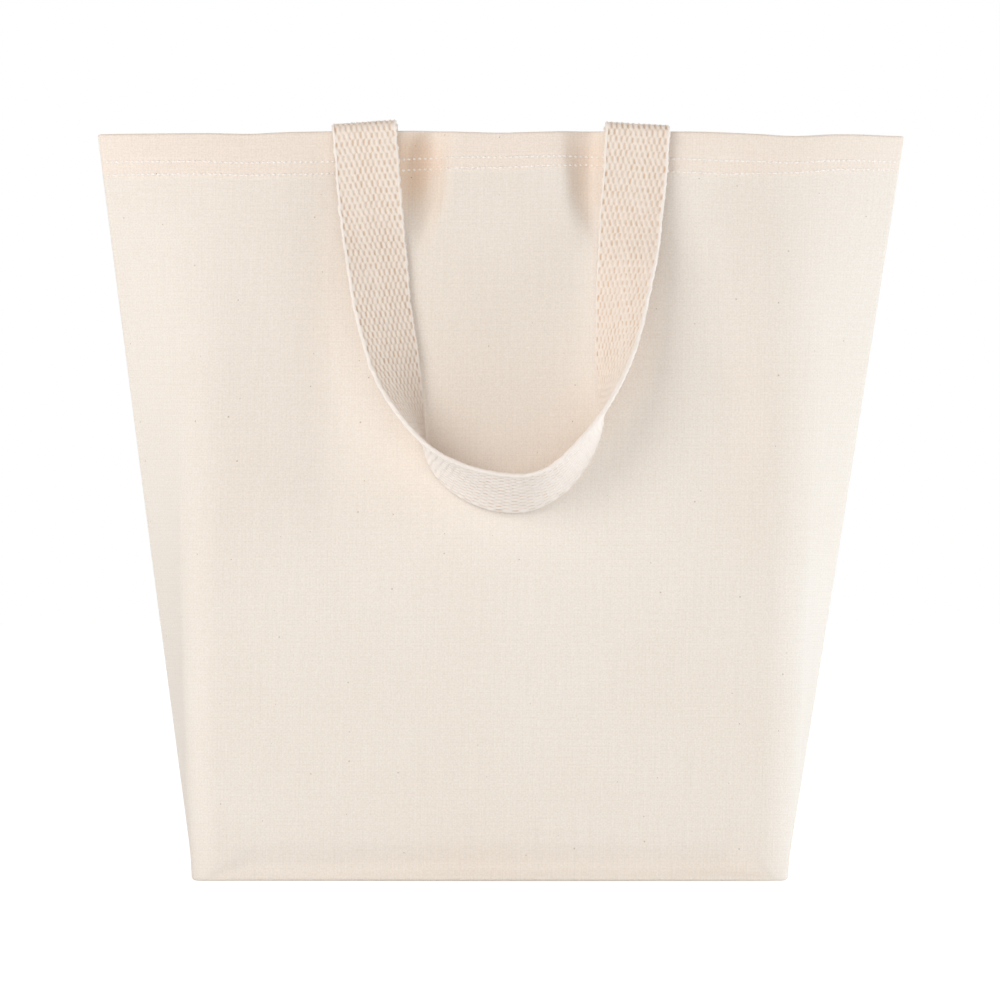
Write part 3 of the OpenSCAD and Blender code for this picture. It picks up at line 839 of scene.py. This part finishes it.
def clothFrame(s, z, depth, side, outward):  # a place just off the cloth's face, and its ways along and out
    step = 0.0006
    place = clothAt(s, z, depth, side)
    way = clothAt(s + step, z, depth, side) - clothAt(s - step, z, depth, side)
    up = clothAt(s, z + step, depth, side) - clothAt(s, z - step, depth, side)
    out = unit(np.cross(way, up) * outward)
    return place + out * stitch["out"], way, out


def makeHemRow(name, which, side):
    reach = seamAt - stitch["rowEnd"]
    s = np.linspace(-reach, reach, int(2 * reach / stitch["pitch"]))
    places, ways, outs = [], [], []
    for depth, outward in ((0.0, 1), (bag["hemInner"], -1)):
        clear = np.abs(s) < (seamAt - 0.006 if outward < 0 else 1)
        place, way, out = clothFrame(s, rowHeight(which, s), depth, side, outward)
        places.append(place[clear])
        ways.append(way[clear])
        outs.append(out[clear])
    return layBeads(name, places, ways, outs, side)


# Handles: flat woven webbing that hangs outside, turns over the mouth and is sewn inside

handle = {
    "wide": 0.032, "thick": 0.0016, "legAt": 0.068, "endLong": 0.034, "endDepth": 0.0037,
    "turnRadius": 0.0039, "turnHigh": {-1: 0.3724, 1: 0.3716}, "turnOut": 0.02735,
    "clear": 0.0020, "sewnAt": 0.0687, "cutEnd": 0.0006,
    # the middle of the webbing from the left turn to the right one: x, z and its turn from flat, degrees
    "route": ((-68, 373.2, 0), (-66.4, 352, 3), (-63.6, 322, 12), (-59.8, 290, 26), (-54, 259, 37),
              (-48.5, 240, 57), (-41, 221, 82), (-34, 209, 104), (-22.5, 200, 116), (-9, 194, 125),
              (10, 191.2, 127), (22, 194.6, 119), (31.5, 201.7, 115), (42, 214.4, 107), (49.5, 227, 98),
              (53, 240, 78), (56.5, 259, 56), (59.2, 277, 44), (61, 293, 34), (64, 320, 18), (66.6, 350, 5),
              (68, 373.2, 0)),
    "rowStep": 0.000875, "cordPitch": 0.00138, "cordSpread": (0.17, 0.50, 0.83), "beat": 0.0035,
    "relief": 0.00080, "wobble": 0.00022,
    "selvedge": 0.0011, "selvedgePale": 0.7, "selvedgeBeat": 0.00014, "selvedgeRagged": 0.00024,
}


def smoothed(values, width):
    half = int(width * 3)
    kernel = np.exp(-0.5 * (np.arange(-half, half + 1) / width) ** 2)
    kernel /= kernel.sum()
    line = np.r_[2 * values[0] - values[half:0:-1], values, 2 * values[-1] - values[-2:-half - 2:-1]]
    return np.convolve(line, kernel, "valid")


def handleRoute(side):
    route = np.array(handle["route"], float)
    if side == -1:  # the back handle hangs the other way round
        route = route[::-1] * np.array([-1, 1, 1])
    leg = np.cumsum(np.r_[0, np.hypot(np.diff(route[:, 0]), np.diff(route[:, 1]))]) * mm
    fine = np.arange(0, leg[-1], 0.001)
    fine = np.append(fine, leg[-1])
    high = [handle["turnHigh"][hand * side] for hand in (-1, 1)]
    x, z, twist = [smoothed(np.interp(fine, leg, column), width) for column, width in zip(route.T, (7, 7, 8))]
    x, z, twist = x * mm, z * mm, np.radians(twist)
    twist[0] = twist[-1] = 0
    z = z + (high[0] - z[0]) * (1 - ease(fine / 0.04)) \
        + (high[1] - z[-1]) * (1 - ease((fine[-1] - fine) / 0.04))
    wayX, wayZ = np.gradient(x), np.gradient(z)
    size = np.hypot(wayX, wayZ)
    wayX, wayZ = wayX / size, wayZ / size
    across = pointsAt(wayZ * np.cos(twist), -np.sin(twist), -wayX * np.cos(twist))
    room = np.zeros(len(fine))
    for share in (-1, -0.5, 0, 0.5, 1):  # the wall must clear each line along the webbing
        spot = across * handle["wide"] / 2 * share
        tilt = np.abs(across[:, 1])
        room = np.maximum(room, frontFace(x + spot[:, 0], z + spot[:, 2], side) + spot[:, 1]
                          + handle["clear"] + handle["thick"] / 2 * np.sqrt(1 - tilt ** 2))
    radius, turnAt = handle["turnRadius"], -handle["turnOut"]
    turnFront = radius - turnAt
    near = ease(np.minimum(fine, fine[-1] - fine) / 0.045)
    y = mixed(-turnFront, smoothed(-np.maximum(room, turnFront), 6), near)
    y = smoothed(np.minimum(y, -room), 3)
    y[0] = y[-1] = -turnFront
    loop = pointsAt(x, y, z)

    # over the mouth and down to the sewn end, on the inside
    def sewn(hand):
        high = handle["turnHigh"][hand * side]
        heights = np.arange(bag["tall"] - handle["endLong"], high - 0.0030, 0.0009)
        inside = clothAt(hand * handle["sewnAt"], heights, handle["endDepth"], side)[..., 1]
        inside = mixed(inside, turnAt + radius, ease((heights - high + 0.014) / 0.011))
        angles = np.radians(np.linspace(0, 172, 20))
        ys = np.r_[inside, turnAt + radius * np.cos(angles)]
        zs = np.r_[heights, high + radius * np.sin(angles)]
        edge = across[0 if hand < 0 else -1]
        tilt = math.atan2(edge[2], abs(edge[0])) * ease(np.r_[0 * heights, angles / 1.6])
        return pointsAt(hand * handle["legAt"], ys, zs), pointsAt(hand * np.cos(tilt), 0, np.sin(tilt))

    leftLine, leftFlat = sewn(-1)
    rightLine, rightFlat = sewn(1)
    line = np.concatenate([leftLine, loop, rightLine[::-1]])
    flat = np.concatenate([leftFlat, across, rightFlat[::-1]])
    # even rows along the webbing
    long = np.cumsum(np.r_[0, np.linalg.norm(np.diff(line, axis=0), axis=1)])
    at = np.linspace(0, long[-1], int(long[-1] / handle["rowStep"]))
    line = np.stack([smoothed(np.interp(at, long, line[:, k]), 1.2) for k in range(3)], -1)
    flat = np.stack([np.interp(at, long, flat[:, k]) for k in range(3)], -1)
    return line, flat, at


def cordLayout():  # how far the cords reach from the middle, their number and their pitch
    inside = handle["wide"] / 2 - handle["selvedge"]
    cords = round(2 * inside / handle["cordPitch"])
    return inside, cords, 2 * inside / cords


def weave(u, v, face):
    # The woven face at u across and v along: plump warp cords that rise and dip in turn. Gives its height,
    # how much painted shade it has as a hollow between cords, and how pale it is, with painted light on the
    # back face.
    inside, cords, pitch = cordLayout()
    place = (u + inside) / pitch - 0.5
    height = np.zeros(np.broadcast(u, v).shape)
    for offset in (-1, 0, 1):
        cord = np.round(place) + offset
        phase = math.pi * (np.mod(cord, 2) + (face > 0))
        wander = 0.25 * np.sin(cord * 12.9898 + v / 0.021)
        rise = ease((np.cos(math.pi * v / handle["beat"] + phase + wander) + 0.52) / 0.85)
        broad = 0.46 + 0.24 * rise
        far = np.clip(np.abs(place - cord) / broad, 0, 1)
        top = (0.08 + 0.92 * rise) * np.sqrt(1 - far ** 2)
        height = np.maximum(height, np.where((cord >= 0) & (cord < cords), top, 0))
    edge = np.abs(u) > inside - 1e-9
    knot = 1.02 + 0.16 * np.cos(2 * math.pi * v / handle["beat"] + (u > 0) * 2.0)
    height = np.where(edge, knot, height)
    # painted shade in the hollows between cords, a little less on the back face
    hollowShade = np.where(edge, 0, np.clip(1 - height / 0.72, 0, 1) * (1.0 if face > 0 else 0.85))
    # pale at the selvedge, and painted light all over the back face
    selvedgeAndBackLight = np.where(edge, handle["selvedgePale"], 0.0 if face > 0 else 0.8) + 0 * height
    return height, hollowShade, selvedgeAndBackLight


def capFaces(first, n):
    # A cut end: front and back points face each other across the thickness, with two more at each selvedge.
    front = [first + k for k in range(n)]
    back = [first + 2 * n + 1 - k for k in range(n)]
    cap = [[front[k], front[k + 1], back[k + 1], back[k]] for k in range(n - 1)]
    cap.append([front[-1], first + n, first + n + 1, back[-1]])
    cap.append([back[0], first + 2 * n + 2, first + 2 * n + 3, front[0]])
    return cap


def makeHandle(name, side):
    line, flat, at = handleRoute(side)
    way = unit(np.gradient(line, axis=0))
    flat = squared(flat, way)
    out = np.cross(flat, way)     # away from the wall on a hanging leg
    inside, cords, pitch = cordLayout()
    across = [-inside + pitch * (k + np.array(handle["cordSpread"])) for k in range(cords)]
    edge = handle["wide"] / 2 - np.array([0.0009, 0.0004])
    u = np.concatenate([-edge[::-1], [-inside], *across, [inside], edge])
    half, relief = handle["thick"] / 2, handle["relief"]
    wobble = handle["wobble"] * ripples(at, 0 * at, 5 + side, 6, 0.008, 0.05)
    rows, hollowShades, selvedgeAndBackLights, ringU = [], [], [], []
    for face in (1, -1):  # also the hand of the selvedge that comes after it
        order = u[::face]
        height, hollowShade, selvedgeAndBackLight = weave(order[None, :], at[:, None], face)
        rounded = 0.00028 * (np.abs(order) > handle["wide"] / 2 - 0.0005)
        raised = (half - relief * 0.55 + relief * height) - rounded[None, :]
        rows.append(line[:, None] + flat[:, None] * (order[None, :, None] + wobble[:, None, None])
                    + out[:, None] * (face * raised)[..., None])
        # the selvedge's rounded outer side
        bump = handle["selvedgeBeat"] * np.cos(2 * math.pi * at / handle["beat"])
        bump = bump + handle["selvedgeRagged"] * ripples(at, 0 * at, 9 + side + face, 9, 0.0018, 0.006)
        outer = line + flat * (face * (handle["wide"] / 2 + bump) + wobble)[:, None]
        rows.append(np.stack([outer + out * (face * half * share) for share in (0.42, -0.42)], 1))
        # the painted shade of the hollows, and the pale selvedge with the painted light of the back face
        hollowShades += [hollowShade, np.zeros((len(at), 2))]
        selvedgeAndBackLights += [selvedgeAndBackLight, np.full((len(at), 2), handle["selvedgePale"])]
        ringU += [order, np.full(2, face * handle["wide"] / 2)]
    ring = np.concatenate(rows, 1)
    # the cut ends close over a rounded fold
    caps = []
    for end, toward in ((0, -1), (-1, 1)):
        ahead = way[end] * toward * handle["cutEnd"]
        caps.append(mixed(line[end] + ahead, ring[end] + ahead, 0.94)[None])
    full = np.concatenate([caps[0], ring, caps[1]])
    along = np.concatenate([at[:1] - handle["cutEnd"], at, at[-1:] + handle["cutEnd"]])
    count = ring.shape[1]
    index = np.arange(full.shape[0] * count).reshape(full.shape[0], count)
    faces = gridFaces(np.concatenate([index, index[:, :1]], 1))[:, ::-1].tolist()
    faces += capFaces(0, len(u)) + [corners[::-1] for corners in capFaces(index[-1, 0], len(u))]
    uv = uvGrid(np.concatenate(ringU), along).reshape(-1, 2)
    piece = newPiece(name, full.reshape(-1, 3), faces, webbingMaterial, side, "webbing", uv)
    for layer, values in (("hollowShade", hollowShades), ("selvedgeAndBackLight", selvedgeAndBackLights)):
        values = np.concatenate(values, 1)
        paint(piece, layer, np.concatenate([values[:1], values, values[-1:]]))
    return piece


box = {"inset": 0.0042, "top": 0.0072, "bottom": 0.004}


def makeBoxStitches(name, hand, side):
    # A stitched box with a cross, through the sewn end: on the webbing inside and on the cloth outside.
    wide = handle["wide"] / 2 - box["inset"]
    low, high = bag["tall"] - handle["endLong"] + box["bottom"], bag["tall"] - box["top"]
    middle = hand * handle["sewnAt"]
    corners = [(middle - wide, low), (middle + wide, low), (middle + wide, high), (middle - wide, high)]
    webbingFace = handle["endDepth"] + handle["thick"] / 2 + 0.0001
    places, ways, outs = [], [], []
    for first, second in ((0, 1), (1, 2), (2, 3), (3, 0), (0, 2), (1, 3)):
        first, second = np.array(corners[first]), np.array(corners[second])
        long = np.linalg.norm(second - first)
        count = int(long / stitch["pitch"])
        spots = first + (second - first) * ((np.arange(count) + 0.5) / count)[:, None]
        step = (second - first) / long * 0.0005
        for depth, outward in ((0.0, 1), (webbingFace, -1)):
            place, _, out = clothFrame(*spots.T, depth, side, outward)
            places.append(place)
            ways.append(clothAt(*(spots + step).T, depth, side) - clothAt(*spots.T, depth, side))
            outs.append(out)
    return layBeads(name, places, ways, outs, side)


# Overlocked edges inside: loops of thread round the cut edges

overlock = {"pitch": 0.0021, "wide": 0.0036, "high": 0.0024, "thread": 0.00022, "slant": 0.0012,
            "around": 10, "section": 4, "sideFrom": 0.019, "cornerReach": 0.040, "bottomReach": 0.139}


def makeOverlock(name, node, places, way, inward, flat):
    # A loop at each place along the edge's way: it reaches inward and wraps the layers, which lie flat.
    way, inward, flat = (np.array(part, float) for part in (way, inward, flat))
    angle = np.arange(overlock["around"]) / overlock["around"] * 2 * math.pi
    tube = (np.arange(overlock["section"]) / overlock["section"] * 2 * math.pi)[:, None]
    draw = np.random.default_rng(len(places) + 3)
    slant = 0.35 + 0.08 * draw.standard_normal(len(places))[:, None, None, None]
    wide = overlock["wide"] / 2 * (1 + 0.05 * draw.standard_normal(len(places)))[:, None, None, None]
    ringX, ringY = np.cos(angle)[:, None, None], np.sin(angle)[:, None, None]
    squareX = np.sign(ringX) * np.abs(ringX) ** 0.6
    squareY = np.sign(ringY) * np.abs(ringY) ** 0.6
    body = places[:, None, None] + inward * (squareX * wide) + flat * (squareY * overlock["high"] / 2) \
        + way * (slant * squareX * overlock["slant"])
    points = body + ((inward * ringX + flat * ringY) * np.cos(tube) + way * np.sin(tube)) * overlock["thread"]
    index = np.arange(points.size // 3).reshape(points.shape[:3])
    beside = np.roll(index, -1, 2)
    faces = np.stack([index, beside, np.roll(beside, -1, 1), np.roll(index, -1, 1)], -1).reshape(-1, 4)
    piece = newPiece(name, points.reshape(-1, 3), faces, threadMaterial)
    finishPiece(piece, "thread", node)
    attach(piece, "root")


# Where the cloth and the webbing start to bend and where they have turned, along the way of each blend

hinge = {"clothStart": 0.0372, "clothEnd": 0.0505, "clothTilt": 0.1,
         "strapStart": (0.0258, 0.3732), "strapTurn": 0.0025, "strapTilt": 0.06}


def withWall(piece):
    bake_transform(piece)


shared = ["left_side_seam", "right_side_seam", "bottom_seam", "left_corner_seam", "right_corner_seam",
          "left_hem", "right_hem"]
for side, word in ((1, "front"), (-1, "back")):
    cloth = makeCanvas(word + "Canvas", side)
    finishPiece(cloth, "canvas", f"{word}_panel", f"{word}_base", f"left_{word}_gusset",
                f"right_{word}_gusset", f"{word}_hem", *shared)
    withWall(cloth)
    for which, node in (("upperRow", "upper"), ("lowerRow", "lower")):
        row = makeHemRow(word + "HemStitches" + node.capitalize(), which, side)
        finishPiece(row, "thread", word + "_hem_" + node + "_stitch", "left_hem_stitch", "right_hem_stitch")
        withWall(row)
    for hand, handWord in ((-1, "left"), (1, "right")):
        sewnBox = makeBoxStitches(word + "Handle" + handWord.capitalize() + "Stitches", hand * side, side)
        finishPiece(sewnBox, "thread", word + "_handle_" + handWord + "_stitch")
        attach(sewnBox, word + "_wall")
    print(word, "canvas and stitching ready:", len(cloth.data.polygons), "faces")
    webbing = makeHandle(word + "Handle", side)
    finishPiece(webbing, "webbing", word + "_handle", word + "_handle_left_end", word + "_handle_right_end")
    # where the turn over the mouth starts, and its way, from the hinge values
    start = Vector((0, -side * hinge["strapStart"][0], hinge["strapStart"][1]))
    way = Vector((0, -side, hinge["strapTilt"])) * hinge["strapTurn"]
    start + way
    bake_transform(webbing)
    print(word, "handle ready:", len(webbing.data.polygons), "faces")

for hand, word in ((-1, "left"), (1, "right")):
    heights = np.arange(overlock["sideFrom"], bag["tall"] - bag["hemWide"] - 0.008, overlock["pitch"])
    seamLine = clothAt(hand * seamAt, heights, 0, 1)
    places = pointsAt(seamLine[:, 0] - hand * (bag["seamAllowance"] + 0.0008), 0, heights)
    makeOverlock(word + "SideOverlock", word + "_side_overlock", places, (0, 0, 1), (-hand, 0, 0), (0, 1, 0))
    along = np.arange(-overlock["cornerReach"], overlock["cornerReach"], overlock["pitch"])
    baseEdge = clothAt(hand * (seamAt - 0.03), 0, 0, 1)[0]
    places = pointsAt(baseEdge - hand * 0.0002, along, 0.0100)
    makeOverlock(word + "CornerOverlock", word + "_corner_overlock", places, (0, 1, 0), (0, 0, 1), (1, 0, 0))
along = np.arange(-overlock["bottomReach"], overlock["bottomReach"], overlock["pitch"])
places = pointsAt(along, 0.0088, 0.0019)
makeOverlock("bottomOverlock", "bottom_overlock", places, (1, 0, 0), (0, 1, 0), (0, 0, 1))
print("overlocked edges ready")

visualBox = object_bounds()
for word, box in (("cad", cadBox), ("visual", visualBox)):
    print(word, [[round(value, 4) for value in corner] for corner in box])
